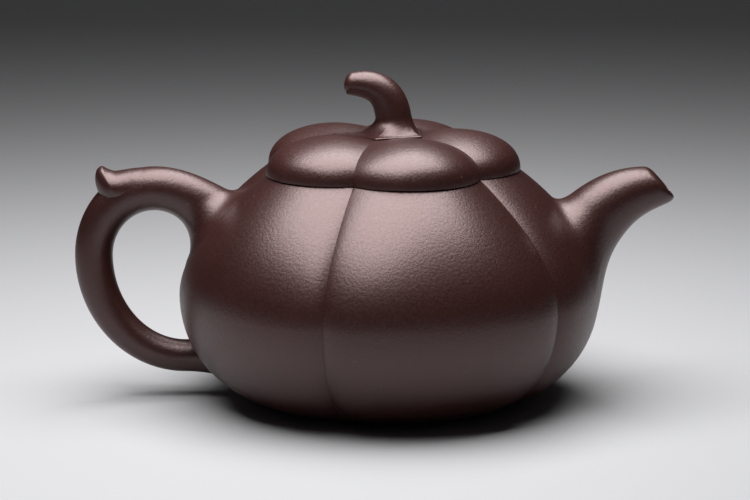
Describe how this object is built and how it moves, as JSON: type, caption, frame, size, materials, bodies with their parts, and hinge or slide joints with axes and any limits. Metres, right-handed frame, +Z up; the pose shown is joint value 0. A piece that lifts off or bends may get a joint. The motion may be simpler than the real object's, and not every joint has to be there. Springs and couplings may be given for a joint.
{
  "type": "clay teapot",
  "caption": "Lobed pumpkin-form teapot of unglazed purple-brown clay with a lift-off lobed lid, a bent-stem knob, a short curved spout and a round loop handle with a thumb curl.",
  "frame": {"origin": "on the pot's axis, in the plane that the foot ring stands on", "axes": "+Z up along the pot's axis, +X towards the spout, -X towards the handle"},
  "size_m": [0.156, 0.1096, 0.0854],
  "materials": {
    "clay": "unglazed, satin burnished, fine grain"
  },
  "bodies": {
    "pot": {"body_bowl": "clay", "body_shoulder": "clay", "base_disc": "clay", "mouth_ring": "clay", "spout": "clay", "strainer_dome": "clay", "handle_loop": "clay", "thumb_curl": "clay"},
    "lid_ring": {"lid_flange": "clay"},
    "lid": {"lid_dome": "clay", "lid_calyx": "clay", "stem_knob": "clay"}
  },
  "joints": [
    {"name": "lid_lift", "type": "slide", "parent": "pot", "child": "lid_ring", "axis": [0, 0, 1], "range_m": [0, 0.045]},
    {"name": "lid_turn", "type": "hinge", "parent": "lid_ring", "child": "lid", "pos_m": [0, 0, 0.06], "axis": [0, 0, 1], "continuous": true}
  ]
}
